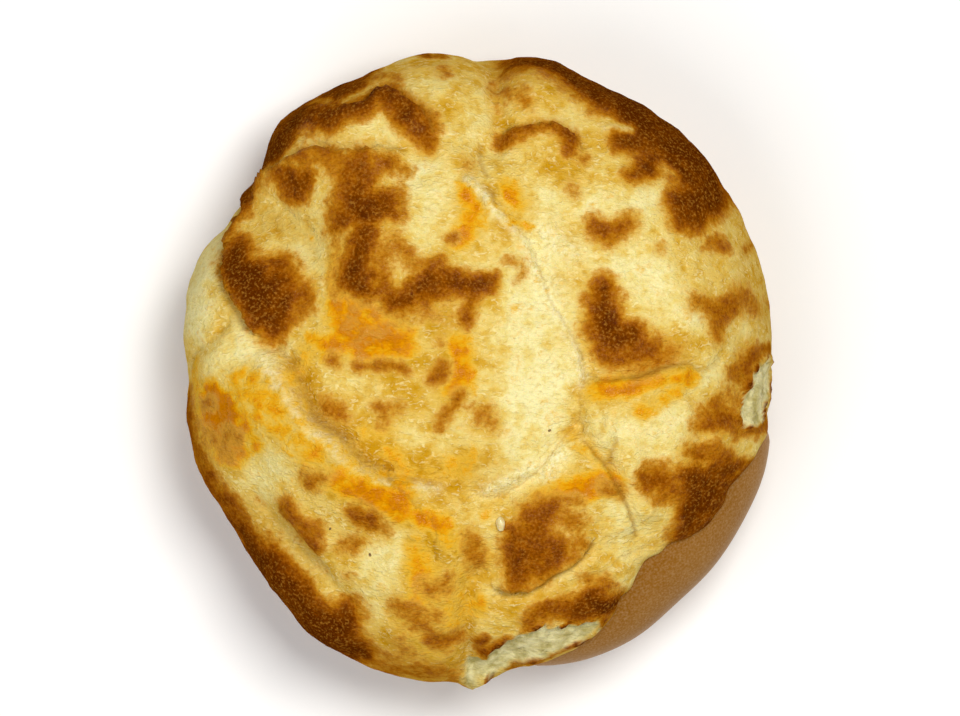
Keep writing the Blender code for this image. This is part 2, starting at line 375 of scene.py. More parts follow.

# Overlaps, where one sheet has slid over the next: step, how far back the raised sheet runs out, how
# dark the line of painted shade at its edge is, and the points of the edge, with the raised sheet on
# the left
OVERLAPS = (
    (2.6, 9.0, 0.8, ((-14, 42.6), (-17, 43.5), (-19.5, 43.3), (-23, 42.4), (-28, 42.3), (-31, 42.8),
        (-34, 42.3), (-37, 40.8), (-40, 38.4), (-43, 35.8), (-44.2, 32))),
    (2.2, 7.0, 0.8, ((-9, 46), (-11, 50), (-15, 53), (-18, 54.2), (-20, 53.6), (-22, 51.8),
        (-24, 51), (-28, 50.8), (-31, 51), (-36, 51.2))),
    (1.6, 6.0, 0.8, ((20.3, 42.6), (19.4, 44.5), (18, 46.6), (15.5, 48), (12, 48.1), (9, 48.2),
        (5.2, 48), (3.2, 45.4))),
    (2.6, 8.0, 0.4, ((-46.3, 36), (-46.6, 31), (-50.2, 25), (-50.6, 19), (-49.4, 15.5),
        (-47.5, 12), (-45.5, 8.5), (-41.5, 4.6))),
    (2.0, 8.0, 1.0, ((41.5, 1), (39.5, 0.9), (36, 0), (33, -1), (30, -2), (26, -2.5),
        (23.5, -2.4), (21.5, -1.2))),
    (2.2, 8.0, 0.7, ((1.5, -42), (3, -43.4), (5, -43.8), (9, -43.8), (12, -42.2), (15, -39.9),
        (18, -38.5), (20.5, -36.5), (22.6, -33.4))),
    (1.8, 8.0, 1.0, ((30.6, -34), (30, -30.6), (28.8, -28), (27.6, -25.4), (26.4, -22.8),
        (25.5, -20.4), (24, -18.4), (22, -16.2), (20, -14))),
    (0.7, 7.0, 0.0, ((-41, -25.5), (-38.5, -29.5), (-36, -33), (-33, -36.5), (-30, -40),
        (-27, -43.5))),
    (1.6, 6.0, 1.0, ((-17, -20.5), (-19.2, -19.8), (-22.5, -18.4), (-24.4, -16.4), (-26.3, -14),
        (-28.5, -12.5), (-31.8, -9.8), (-34.4, -5.3), (-36.3, -1.5), (-38, 1.5), (-41.5, 4.6))),
)

# Crumbly ridges of bare curd: height, half width, how white, and the points they run through
RIDGES = (
    (0.8, 1.8, 0.55, ((-42.5, 2.5), (-40, -1.5), (-37.3, -6), (-33.8, -10.5), (-30.3, -13.5),
        (-27, -16.5))),
    (0.6, 1.2, 0.5, ((-27, -16.5), (-24.5, -18.8), (-21.5, -20.6))),
    (0.8, 1.1, 0.7, ((-20.5, -21.8), (-14.5, -23.4), (-8.4, -23.6))),
    (1.0, 1.4, 0.8, ((1.5, -24.3), (5, -22.4), (8, -21), (11, -20))),
    (1.1, 1.6, 0.9, ((13.4, -20.6), (14.2, -18.2), (15.8, -17))),
    (0.8, 0.6, 0.8, ((16.4, -15.9), (20, -13.9))),
    (1.2, 1.1, 0.9, ((-2, 37), (1, 34), (3, 31.3), (6, 28.5), (8.2, 26), (10, 22.5), (12, 17.5),
        (13.6, 13.5), (15.6, 9.4), (17.9, 5.2), (19.6, 0.5), (20.2, -2.5))),
    (0.7, 2.6, 0.5, ((12.5, 28), (15, 25), (18, 23))),
    (0.4, 2.0, 0.4, ((13, 20), (15.5, 16))),
    (0.5, 0.8, 0.6, ((24, 46.9), (30, 46.8))),
)

# Tears, where the toasted skin came away: depth, and the beads that cover the place
TEARS = (
    (0.8, ((-1.6, -61, 1.2), (1.6, -59.4, 1.5), (5, -57.2, 2.2), (9, -55.6, 3.3), (13, -54.4, 3),
        (17, -52.9, 2.3), (20.4, -51.9, 1.9), (23.4, -51.2, 0.8))),
    (0.3, ((53.4, -8.4, 2.7), (54.2, -5.4, 2.9), (55.8, -2.2, 1.9), (57.5, 0.5, 1))),
)

# Browned patches: how dark from 0 to 1, and the beads (x, y, radius) that cover the patch
BROWNED = (
    # rim band, upper right
    (0.92, ((6.5, 61.1, 1.2), (11.5, 61.1, 1.6), (16.1, 59, 2.4), (20.7, 56.3, 2.8),
       (24.9, 54.2, 3.4), (29.8, 51.6, 4), (33.7, 48.5, 4.5), (37.5, 45.1, 4.6), (41.3, 41.2, 4.6),
       (44.4, 37.4, 4.2), (45.2, 34.3, 3.8), (41.7, 32, 4.3))),
    # its lobes
    (0.9, ((26.8, 44.7, 1.6), (30.6, 44.1, 2), (35.2, 43.9, 2.7))),
    (0.8, ((30, 37.8, 1.2), (32.5, 39.7, 2.3), (36.7, 42.4, 3.1))),
    # crest under the rim
    (0.72, ((5, 46, 1.4), (7.3, 46.8, 1.7), (11.1, 47.3, 1.1), (14.9, 47.3, 1.4), (17.4, 45.4, 1.8),
       (18, 43.3, 1.3))),
    (0.5, ((20.3, 41.2, 1.2),)),
    (0.44, ((5.7, 55.6, 1.4), (8, 54.6, 1.4))),
    (0.52, ((9, 52, 1.5), (9.8, 50.6, 1.2))),
    # heart
    (0.64, ((22.6, 28.1, 1.4), (25.4, 26.4, 2.1), (28.2, 28.1, 1.5))),
    (0.3, ((17.4, 36.4, 1.2), (18.4, 34.5, 1))),
    # triangle
    (0.92, ((24.4, 16.2, 1.3), (23.7, 12.3, 2.2), (24.6, 8.4, 2.8), (26.6, 6.2, 3), (29.4, 6.4, 2.2))),
    (0.66, ((24, 12.5, 3), (24.6, 6, 3.6), (27, 3.6, 3.6), (30.5, 4.2, 3.2), (33.2, 4.4, 2))),
    (0.42, ((26.5, 1.6, 2.4), (31, 1.6, 2.8), (35.6, 3.8, 2), (38.2, 4, 1.2))),
    (0.52, ((44, 23.6, 0.8), (46.1, 25.1, 1.3), (48.3, 23.9, 1.2))),
    (0.5, ((53.2, 24, 1),)),
    (0.4, ((34.8, 23.6, 0.8),)),
    # tooth
    (0.6, ((40.9, 13.3, 0.9), (43.2, 12.6, 1.2), (46.1, 10.8, 2.5), (49.4, 12.9, 1.8))),
    (0.5, ((49.4, 12.7, 2.3), (52.4, 14.4, 2.2), (54.5, 12.7, 1.8))),
    (0.56, ((46, 9.5, 2.2), (45.8, 7, 1.2))),
    # arc
    (0.42, ((5.7, 21.3, 0.8), (8.1, 21.3, 0.8), (8.5, 18.8, 0.7), (7.3, 17, 0.5))),
    # rim band, upper left
    (0.92, ((-21.7, 58.8, 0.9), (-23.8, 56.3, 1.7), (-27.5, 54.8, 2.2), (-31.5, 52.7, 2),
       (-35.1, 50.8, 2.4), (-38.6, 46.6, 3.1), (-41.3, 42.9, 2.8), (-42.8, 39.3, 1.9),
       (-44.7, 35.5, 1.5), (-45.8, 32, 0.9))),
    # its thin tail
    (0.85, ((-45.8, 32, 0.4), (-47.2, 29.4, 0.3), (-48.7, 26.3, 0.3), (-49.5, 24, 0.5))),
    # crest band
    (0.86, ((-33.6, 48.7, 2), (-29.4, 48.5, 2.3), (-26.3, 49.3, 1.9), (-23.3, 50.6, 1.5),
       (-20.2, 52.5, 1.5), (-16.8, 52.3, 1.9), (-14.1, 49.6, 2.3))),
    (0.76, ((-14.1, 49.6, 2.3), (-11.4, 47, 2.8), (-10.3, 45.1, 1.7))),
    (0.5, ((-21.7, 56.5, 1.1), (-18.7, 56.5, 1), (-16.6, 56.7, 1.1))),
    # specks on the edge
    (0.8, ((-10.6, 62.6, 0.8),)),
    (0.7, ((-7.4, 62.7, 0.8),)),
    (0.48, ((-7.2, 58.8, 1.1),)),
    # golden shelf
    (0.5, ((-37, 39.3, 1.9), (-33.2, 40.8, 2), (-29.8, 40.8, 2.1), (-27.1, 40.1, 1.9))),
    (0.78, ((-37.8, 37.4, 1.7), (-35.1, 35.3, 2.5), (-33.2, 37, 1.8), (-34.7, 33.2, 1.1))),
    # centre blob
    (0.66, ((-23.1, 40.5, 2), (-23.8, 37, 3.6), (-24.4, 33.2, 3.2), (-26.3, 29, 2.6),
       (-28.2, 27.2, 1.2))),
    (0.9, ((-23.8, 35, 1.6), (-23.6, 32, 2.4), (-21.6, 29.6, 2.2))),
    (0.5, ((-20.2, 40.1, 1.9), (-17.1, 40.8, 1.6), (-14.8, 39.1, 1))),
    (0.9, ((-21.4, 31.3, 3.1), (-18.3, 32.4, 2.5), (-16.3, 30.4, 0.9))),
    # red streak
    (0.88, ((-22.3, 26.5, 1.8), (-23.3, 23.6, 1.8), (-24.6, 19.8, 2.4), (-24.8, 17.5, 2.1),
       (-22.3, 15, 1.8))),
    (0.42, ((-17.5, 25.5, 1.8), (-18.7, 23.6, 1.5), (-20, 21.7, 1.2))),
    (0.5, ((-43, 34.5, 1.2), (-41.3, 35.7, 1.4))),
    # two lobes at the left
    (0.93, ((-46.8, 23.2, 2.1), (-47.6, 20.2, 2.8), (-45.1, 17.5, 3.5), (-42.8, 14.4, 4.1),
       (-41.6, 11, 3.4), (-41.2, 7.6, 1.1))),
    (0.8, ((-42.8, 14.4, 3.6), (-39.4, 16.9, 3.4), (-39.4, 19.6, 2))),
    (0.97, ((-43, 15, 2), (-39.4, 13.6, 2.6), (-40.4, 9.5, 2))),
    (0.56, ((-38.4, 14.4, 3.6), (-38.2, 11.8, 3), (-34, 15.2, 2))),
    (0.38, ((-2.6, 40.1, 1.7),)),
    (0.5, ((-6.2, 26.1, 0.8),)),
    # dark band
    (0.9, ((-17.6, 13.1, 1.5), (-14, 13.4, 1.5), (-12.7, 15.6, 1.8), (-9.4, 17.4, 1.9),
       (-5.4, 17.4, 1.9), (-1.7, 16.5, 1.9), (0.9, 16.5, 2))),
    (0.8, ((-1.1, 14.6, 1.7), (-2.3, 11.9, 1.3), (-2.8, 9.4, 0.9))),
    (0.6, ((-7.5, 21.2, 1.3), (-9.4, 19.8, 1.5))),
    (0.3, ((-16, 10.5, 2), (-10, 12, 2.4), (-6, 10, 2.2))),
    (0.72, ((-19.2, 15, 1.4), (-15.4, 13.6, 1.4), (-11, 14.8, 2), (-7.6, 16, 2.3), (-3, 15.6, 1.6))),
    (0.46, ((-21.5, 24.5, 1.8), (-19, 21.5, 2.6), (-17.4, 17, 2.2))),
    (0.5, ((-16.8, 26, 1.4), (-14.6, 22.6, 1.4), (-12.4, 19.8, 1.4))),
    (0.42, ((-28, 24.5, 1.2), (-27, 20.5, 1.8), (-26.8, 15.5, 1.4))),
    # dark loop
    (0.92, ((-25.9, 18.3, 1.5), (-22.8, 15.6, 1.8), (-21, 14.3, 1))),
    (0.8, ((-22.8, 17.7, 1.7), (-20.7, 18.6, 1), (-18.9, 17.1, 0.8), (-18.9, 14.9, 0.7))),
    (0.45, ((-17.9, 26.6, 1.2), (-16.4, 24.4, 0.9))),
    # the pool of amber was lightly toasted too
    (0.1, ((-26, 12, 3), (-23, 7, 4), (-19, 6, 2))),
    (0.6, ((-28.8, 1.8, 1.1),)),
    (0.62, ((-23.8, 0.7, 1), (-20.7, 0.6, 1.2), (-17.6, 0.2, 1.2), (-15.2, 0.1, 0.7))),
    (0.45, ((-7.8, 5.8, 0.9),)),
    (0.66, ((-7.7, 1.2, 1), (-8.3, -1.4, 1.2), (-9.3, -2.4, 0.7))),
    (0.62, ((-29.9, -7.4, 1.7), (-27.7, -8.5, 1.3), (-26.1, -9.6, 0.6))),
    (0.46, ((-20.7, -7.4, 1.1), (-18.9, -8.3, 1.5), (-18.9, -10.6, 1.1))),
    (0.42, ((-17.6, -8.3, 0.9), (-16.1, -7.1, 0.9))),
    (0.62, ((-3.7, -5.6, 0.8), (-5.7, -7.7, 1), (-7.5, -9.9, 1), (-7.9, -11.1, 0.7))),
    (0.44, ((0.4, -9.2, 2.2),)),
    # left rim
    (0.72, ((-58.9, -4.6, 0.7), (-58.5, -9.2, 1.2), (-57.3, -12.9, 0.8), (-56, -18.4, 1.1),
       (-54, -21.6, 1.6), (-51.3, -25.3, 1.6), (-48.3, -30.3, 2.4))),
    # lower left rim
    (0.92, ((-49.4, -30, 1.6), (-46.4, -33.8, 1.8), (-42.8, -37.8, 2.6), (-40.2, -41.8, 3.4),
       (-36.4, -45, 3.4), (-33.2, -49.2, 3.7), (-28.6, -53, 4.1), (-25, -55.4, 2.6),
       (-23, -56.8, 1.2))),
    (0.85, ((-28.4, -52.8, 3.8), (-25.8, -48.8, 2.3))),
    (0.66, ((-38.1, -26.8, 1.3), (-36.4, -29.6, 1.7), (-34, -32.8, 2.1), (-32.4, -35.4, 1.4))),
    (0.6, ((-34, -31.7, 2.0), (-32, -31.2, 1.6))),
    (0.72, ((-25.1, -27.6, 0.8), (-23.3, -28.5, 1.7), (-21, -29.5, 1.6))),
    (0.34, ((-19.1, -31.2, 1.7),)),
    (0.5, ((-27, -35.4, 1.1), (-25.1, -34.4, 1.6), (-23.2, -33.1, 0.9))),
    (0.55, ((-32.4, -21.1, 1.7), (-30.2, -20.8, 1.3))),
    (0.35, ((-26.5, -40.9, 1.2),)),
    (0.5, ((-53.1, -7.4, 1.4),)),
    (0.38, ((-54, -12.9, 1), (-51.5, -14.2, 1.8), (-49, -17, 1.3))),
    (0.5, ((-49, -12.9, 1.6), (-47.1, -13.8, 0.9))),
    (0.5, ((-16, -46.3, 1.2), (-13.6, -47.6, 1.8), (-11.8, -49.2, 2.0), (-9.4, -48, 1.4))),
    (0.4, ((-11.3, -42.2, 1.2), (-9.6, -43.6, 1.8), (-7.2, -41.8, 1.8))),
    (0.56, ((-9.5, -52.8, 1.3), (-6.7, -53.8, 1.7), (-4.3, -53.3, 0.8))),
    (0.4, ((-15.7, -53.7, 2.2), (-14.1, -55.8, 1.7))),
    (0.5, ((-19.6, -59.3, 0.8),)),
    (0.44, ((-20, -58.8, 1.6), (-14, -60.2, 2), (-6, -60.6, 1.8))),
    # along the furrow
    (0.26, ((-46, -27, 1.4), (-40, -33.5, 1.9), (-33, -41, 1.6))),
    # the valley at the top
    (0.3, ((3.6, 61.5, 0.9), (3.3, 56, 0.9), (3.9, 50, 0.5))),
    # beside the seam
    (0.5, ((-1.8, -32.6, 1.4), (-1.4, -35.4, 2.2), (-0.9, -38.1, 1.5))),
    (0.62, ((53.5, 2.7, 1.7), (51.9, -0.5, 2.7))),
    (0.7, ((56.9, 3.7, 0.6),)),
    (0.44, ((48.8, -4.4, 1.4), (49.6, -6.2, 2.4), (45.6, -8, 2.2), (43, -8.6, 1.2))),
    (0.64, ((43, -10.6, 1.4), (46.8, -10.3, 2.1), (50.4, -9.4, 2), (51.2, -11.9, 1.5),
       (54.6, -12, 1), (57.4, -11.1, 0.7))),
    # large, lower right
    (0.92, ((39.2, -20.6, 1.4), (41.6, -21.8, 3), (44.6, -24, 4), (42.4, -27.6, 3.4),
       (42.2, -30.4, 2), (39.6, -33.1, 1.2))),
    (0.62, ((33.1, -21.6, 1.7), (36, -21.2, 2.3), (36.6, -23.8, 2.2), (40, -24, 3))),
    (0.66, ((41.6, -16.5, 1.5), (45.9, -17.3, 2.4), (49.6, -17.6, 2))),
    (0.82, ((46, -20.4, 2.6), (49.4, -20.2, 2.4), (52.4, -18.8, 1.1))),
    (0.9, ((50.5, -21.6, 1.4), (47, -26.6, 2), (43.6, -31, 1.6), (40.4, -34, 0.8))),
    (0.85, ((55, -18.8, 0.9), (51.6, -24, 1.5), (47.8, -29.6, 1.6), (43.6, -33.6, 1.2))),
    (0.45, ((24.6, -23, 1.2), (26.6, -24, 1.1))),
    (0.52, ((15, -25.6, 1.1), (18.6, -25.9, 1))),
    # large, under the seam
    (0.66, ((14.6, -26.8, 1.4), (10.8, -29.4, 3), (9.8, -33.5, 4.4), (8.6, -37.4, 4),
       (7.6, -40.4, 2.4))),
    (0.8, ((7.6, -32.5, 1.6), (8.4, -36.5, 2), (6.8, -40, 1.2))),
    (0.6, ((11.5, -33.5, 4), (14.4, -34, 2.4), (13.8, -36.8, 2), (11, -39.6, 2))),
    (0.9, ((6.2, -31.2, 0.8), (6, -34, 1), (6.6, -36.4, 0.8))),
    (0.42, ((16.6, -28.6, 2), (19.4, -30.8, 2.2), (20, -34, 1.6), (17.4, -36.6, 1.8))),
    # over the tear
    (0.56, ((21.4, -42, 1.8), (24.6, -43, 2), (27.2, -46, 1.8), (26.6, -48.6, 1.4))),
    (0.96, ((26, -46.6, 2.2), (22.2, -46, 2.8), (18.8, -47.2, 1.8))),
    (0.7, ((18, -46.8, 2.2), (13.6, -46.6, 1.6), (11, -48.6, 1.5), (9.2, -50.6, 0.8))),
    (0.85, ((25.4, -50, 0.9), (24.4, -52.2, 0.5))),
    (0.36, ((15, -44, 1.4), (12, -44.6, 1))),
    # ragged lower lip
    (0.8, ((6, -58.8, 0.5), (8.3, -58.8, 0.9), (10.7, -58.6, 0.6))),
    (0.75, ((12.3, -57.9, 0.6), (15.6, -56, 0.9), (18, -55, 0.6))),
    (0.7, ((19.7, -54.6, 0.5),)),
    (0.8, ((0, -54.2, 0.8), (0.6, -54, 0.6))),
    (0.85, ((0.2, -57, 0.9), (2.8, -55.6, 0.5), (5.1, -54.1, 0.8))),
    (0.45, ((0.2, -9, 2.1), (2.3, -10.6, 1.4))),
    # rim lip
    (0.7, ((57.4, -2.9, 0.5), (58.4, -4.6, 0.6), (58.9, -6.4, 0.6))),
)

# Places that stayed light inside or beside the browned patches: how much, and the beads
BARED = (
    (0.6, ((-32.8, 52.9, 1), (-30.6, 52.8, 1.1))),
    (0.8, ((-27, 52.4, 0.4), (-24.5, 53.8, 0.5), (-21, 55, 0.5))),
    (0.7, ((-42.5, 38, 0.4), (-39, 41, 0.5), (-35.5, 43.8, 0.7), (-33.5, 46.5, 0.6))),
    (0.7, ((-31, 36.5, 0.8), (-30.4, 33.5, 1.0))),
    (1.0, ((4, 50, 1.2), (9, 50.2, 1.3), (15, 50.2, 1.4), (20, 48.6, 1.2))),
    (0.9, ((24, 47.2, 0.7), (29.5, 47, 0.9))),
    (0.6, ((35.2, 39.6, 1.0), (38.4, 38.2, 1.0))),
    (0.6, ((-17, 20.6, 1.6), (-15.8, 18.2, 1.2))),
    (0.7, ((-31, 14.2, 1.2), (-30.2, 10.8, 1.2))),
    (0.8, ((-46, -26.5, 0.8), (-42.2, -30.8, 1.0), (-38, -35.5, 1.1), (-34, -40, 1.0),
       (-30.4, -44.2, 0.8))),
    (0.9, ((9, -45.6, 1.0), (13, -43.9, 1.0), (17, -41.4, 1.4))),
    (0.8, ((52, -15.4, 1.0), (54.6, -16.8, 1.4))),
    (0.8, ((31, -27.6, 1.2), (36.5, -28.4, 1.3))),
    (1.0, ((-51.8, 30, 2.2), (-50.5, 33.6, 1.8), (-47.8, 36.8, 0.8))),
)

# Melted orange cheddar in the cream cheese: how strong, and the beads that cover it
CHEDDAR = (
    # pools and long streaks
    (1, ((-27.7, 21.7, 1.2), (-26.8, 14.3, 1.8), (-23.8, 12.5, 2.8), (-25.9, 8.8, 2.8),
       (-22.2, 5.1, 3.6), (-18.2, 5.1, 3.1), (-14.6, 6.4, 1.8))),
    (0.9, ((-25.9, 6.4, 2.8), (-29.9, 3.9, 2.1), (-32.9, 5.8, 1.2))),
    (1, ((-26.5, 12.5, 3.2), (-24, 8, 4.6), (-21, 4.5, 3.6))),
    (0.85, ((-20, 9, 3), (-15.5, 7, 2.4), (-14, 4, 1.6))),
    (0.95, ((-4.2, 5.1, 1.7), (-3.6, 1.5, 2.3), (-3.4, -2.2, 2.3), (-6, -4.6, 1.5))),
    (0.85, ((-3, 34.7, 1.4), (-1.3, 32, 1.8), (-2.2, 28.6, 1.9), (-4.5, 25.9, 2))),
    (0.9, ((4.6, 36.6, 1.3), (6.5, 34.3, 1.5), (7.7, 32.4, 1))),
    (0.7, ((2.3, 33.6, 0.7), (6.1, 29.4, 0.8), (9.6, 27.6, 0.8))),
    (0.6, ((0, 30.1, 1.3), (1.1, 28.2, 0.9))),
    (0.8, ((-54.9, 1.4, 1.1), (-55.4, -0.9, 0.8))),
    (1.3, ((-51.7, -5.3, 2.6), (-49.4, -8.3, 3.1), (-52.7, -9.2, 2.6), (-49, -15.2, 3.4))),
    (0.7, ((-56, -3, 1.6), (-56.5, -9, 1.6), (-54, -16, 1.6))),
    (0.85, ((-49.4, -8.3, 3.1), (-45.8, -11, 2.1), (-43.9, -14.7, 1.2))),
    (0.5, ((-46.2, -6, 2.8), (-38, -1.8, 2))),
    (0.55, ((-45, -4, 4), (-38, -9, 4), (-32, -16, 3.5), (-25, -20, 3))),
    (0.7, ((-39.8, -11.5, 1.7), (-36.1, -12, 1.7), (-33.4, -14.2, 1.6), (-31.1, -16.3, 1.3),
       (-28.3, -18.6, 1.7))),
    (1, ((-27.9, -21.6, 1.7), (-24.2, -22.7, 2.6), (-20, -24.6, 3.4), (-15.4, -27.4, 2.6))),
    (0.9, ((-18.7, -22, 1.7), (-14.5, -24.3, 2.1))),
    (0.95, ((-12.2, -28.5, 1.5), (-7.7, -30.3, 2), (-6.7, -32.4, 1.2))),
    (0.6, ((-3.6, -31.6, 1.4), (-4, -35, 1.2))),
    (0.85, ((-9.6, -43.4, 1.4), (-7, -42.6, 1.4))),
    (0.75, ((-12.7, -36.3, 2.3), (-10.4, -43.6, 2.8), (-13.6, -47.3, 2.8))),
    (0.45, ((-0.3, -36.3, 3.2), (-4.9, -41.8, 2.3), (-6.7, -53.7, 2.8), (-15, -54.6, 2.3))),
    (0.7, ((-0.8, -46.8, 1.8),)),
    (0.92, ((23, -4.2, 1.7), (27.6, -3.7, 1.7), (32.1, -2.4, 1.6), (36.7, -1.2, 1.1), (40, -1.4, 1.3))),
    (0.65, ((31.7, -7.6, 1.7), (35.8, -6, 1.7), (38.3, -3.7, 1.3))),
    (1.1, ((11.4, -25.6, 1.5), (15, -24.6, 2), (20.7, -23.4, 2.3), (25.6, -22.2, 2.1))),
    (0.36, ((18.4, -14.2, 1.4), (21.6, -16.1, 1.2), (23.9, -19.3, 1))),
    # small yellow spots
    (0.5, ((-34.2, 3.9, 1.5), (-35.2, 0.2, 1.7))),
    (0.5, ((-21.9, -12.9, 1.5), (-18.2, -12.3, 1.7))),
    (0.6, ((-17.6, -16.3, 1.4), (-16.1, -18.1, 1.5))),
    (0.55, ((-2.6, -18.4, 1.7),)),
    (0.5, ((-17.3, -17.5, 2), (-14.1, -20.9, 1.2))),
    (0.4, ((-10.4, -21.6, 1.6),)),
    (0.55, ((-4.9, -19.3, 2), (-2.1, -17.9, 1.4))),
    (0.5, ((0.9, -28.5, 0.9),)),
)


# Where the cream stayed pale, and where fat and heat turned it golden: how much, and the beads
PALE = (
    (1.1, ((-50, 32, 2), (-54, 24, 4), (-56, 17, 5), (-57, 9, 4))),
    (1.0, ((-11, 38, 4), (-10, 32, 4.5), (-12, 28, 2.5))),
    (1.0, ((12, 34, 3), (13, 28, 5), (10, 16, 6), (10, 8, 7), (12, 0, 8), (11, -8, 7), (10, -13, 6))),
    (0.9, ((14, -16, 5), (8, -20, 3))),
    (0.8, ((22, 32, 3), (34, 33, 2.5))),
    (0.9, ((28, 21, 4), (34, 16, 5), (40, 10, 3.5))),
    (0.9, ((26, -12, 4), (34, -12, 4), (39, -10, 2.5))),
    (0.8, ((-47, 4, 4), (-40, -18, 3), (-37, -16, 2))),
    (1.1, ((-22, -38, 2), (-18, -37, 4.5), (-16, -40, 3))),
    (0.9, ((28, -31, 4), (28, -35, 2.5))),
    (0.35, ((-5, 46, 2), (0, 49, 3))),
    (0.35, ((-41, 29, 4), (-36, 27, 4), (-33, 23, 3))),
    # along the crest of the roll: pale cream, and partly a painted highlight where light catches the
    # crest
    (0.8, ((-47, -1, 2.5), (-41, -7, 2.5), (-35.5, -12, 2), (-28, -18, 1.6))),
    (0.8, ((22, -10, 2.5), (24, -14, 2.5))),
    (0.6, ((-24, 47.5, 3), (-18, 47, 3))),
    (0.9, ((44, -2, 2.5), (42, -4, 2))),
)
GOLDEN = (
    (1.15, ((-33, -9, 3.5), (-25, -13.5, 4.5), (-18, -18, 4.5), (-6, -21, 3.5), (-2, -17, 2.5))),
    (0.8, ((-16, 4, 5), (-12, -4, 6), (-4, 2, 5))),
    (0.8, ((-15, 10, 3), (-8, 9, 3.5))),
    (0.8, ((-8, -30, 5), (-10, -44, 7), (-16, -54, 6), (-6, -52, 5))),
    (0.45, ((-34, -22, 4), (-26, -23, 4), (-20, -32, 3))),
    (0.8, ((36, 6, 3), (36, 2, 4), (44, -6, 3), (48, -10, 4))),
    (0.8, ((33, 3, 3), (30, -3, 2))),
    (0.25, ((50, 20, 3), (54, 12, 5), (56, 4, 3))),
    (0.55, ((-2, 60, 3), (6, 58, 4), (14, 54, 4), (10, 50, 3))),
    (0.7, ((2, 36, 2), (-2, 31, 4), (-3, 26, 3))),
    (0.6, ((20, 45, 3), (14, 40, 4), (24, 36, 3))),
    (0.7, ((19.8, -4, 1.2), (19.6, -9, 1), (17.6, -13, 1))),
    (0.6, ((26, -8, 2), (30, -9, 1.6))),
    (0.6, ((-57, -6, 3), (-52, -18, 3))),
    (0.7, ((10, -40, 4), (16, -43, 3), (2, -48, 3))),
    (0.6, ((-30, 57, 3), (-12, 60, 3))),
    (0.8, ((-4, 54, 3), (-6, 50, 3))),
    (1.0, ((3.6, 61, 1.4), (3.3, 55, 1.6), (4, 49, 1.0))),
    (1.2, ((-0.5, -40, 1.5), (-3, -47, 2), (-2.6, -54, 2.6), (-6, -58, 3), (-14, -59, 3))),
    (0.9, ((-36, 0, 2), (-33, -4, 3), (-29, -10, 3))),
)

# Painted shade: places in hollows and low at the rim where the cream is darkened, as shade falls there:
# how much, and the beads
PAINTED_SHADE = (
    (1.0, ((-41, 29, 4), (-36, 27.5, 4), (-32, 22, 2))),
    (0.9, ((-46, -27, 2), (-40, -34.5, 2.2), (-33, -42, 1.8))),
    (0.7, ((-24, -56, 2), (-14, -59, 3), (-4, -59, 2))),
    (0.5, ((-55, 26, 3), (-58, 16, 3), (-58, 6, 2))),
    (0.5, ((-2, -20, 3), (6, -18, 2))),
)


def on_cheese(x, y):
    """The point of the even cheese that lies under a point of the plan."""
    share = min(float(np.hypot(x, y) / outline(np.arctan2(y, x))), 0.9995)
    lift = (1 - share**SHOULDER_POWER) ** (1 / SHOULDER_POWER)
    return (x, y, WAIST_HEIGHT + (BUN_HEIGHT + CHEESE_THICKNESS - WAIST_HEIGHT) * lift)


def along_path(points, path):
    """Each point's distance from a path on the cheese, its side of it, and its share of the way."""
    stops = np.array([on_cheese(x, y) for x, y in path])
    lengths = np.linalg.norm(np.diff(stops, axis=0), axis=1)
    nearest = np.full(len(points), np.inf)
    side, share = np.zeros(len(points)), np.zeros(len(points))
    for i, (start, end) in enumerate(zip(stops[:-1], stops[1:])):
        way = end - start
        t = np.clip((points - start) @ way / (way @ way), 0, 1)
        away = points - (start + t[:, None] * way)
        distance = np.linalg.norm(away, axis=1)
        closer = distance < nearest
        nearest[closer] = distance[closer]
        side[closer] = np.sign(way[0] * away[:, 1] - way[1] * away[:, 0])[closer]
        share[closer] = ((lengths[:i].sum() + t * lengths[i]) / lengths.sum())[closer]
    return nearest, side, share


def inside_beads(plan, beads):
    """How deep each point of the plan lies inside a chain of beads, in millimetres."""
    deepest = np.full(len(plan), -np.inf)
    chain = beads if len(beads) > 1 else beads * 2
    for (x0, y0, r0), (x1, y1, r1) in zip(chain[:-1], chain[1:]):
        start, way = np.array((x0, y0)), np.array((x1 - x0, y1 - y0))
        t = np.clip((plan - start) @ way / max(way @ way, 1e-9), 0, 1)
        away = np.linalg.norm(plan - (start + t[:, None] * way), axis=1)
        deepest = np.maximum(deepest, r0 + t * (r1 - r0) - away)
    return deepest


def covered(plan, patches, blur, grown=0.0):
    """The strongest patch at each point, with edges blurred, but less so round small patches."""
    strongest = np.zeros(len(plan))
    for strength, beads in patches:
        softness = np.clip(0.35 + 0.14 * max(radius for _, _, radius in beads), 0.45, 1)
        depth = inside_beads(plan, beads) + grown * softness
        middle = 0.7 + 0.3 * soft_step(depth, 0, 4.0)
        edge = soft_step(depth, -0.5 * blur * softness, 0.5 * blur * softness)
        strongest = np.maximum(strongest, strength * middle * edge)
    return strongest


sheet = cube_of_squares("cheese", SHEET_ROWS)
bpy.ops.mesh.bisect(plane_co=(0, 0, 0), plane_no=(0, 0, 1), clear_inner=True)
bpy.ops.mesh.select_all(action="DESELECT")
bpy.ops.mesh.select_mode(type="EDGE")
bpy.ops.mesh.select_non_manifold(
    extend=False, use_wire=False, use_boundary=True,
    use_multi_face=False, use_non_contiguous=False, use_verts=False,
)
bpy.ops.object.mode_set(mode="OBJECT")
outer_count = len(sheet.data.vertices)
bpy.ops.object.mode_set(mode="EDIT")
for _ in range(UNDERSIDE_RINGS):
    bpy.ops.mesh.extrude_region_move()
bpy.ops.mesh.merge(type="CENTER")
bpy.ops.object.mode_set(mode="OBJECT")

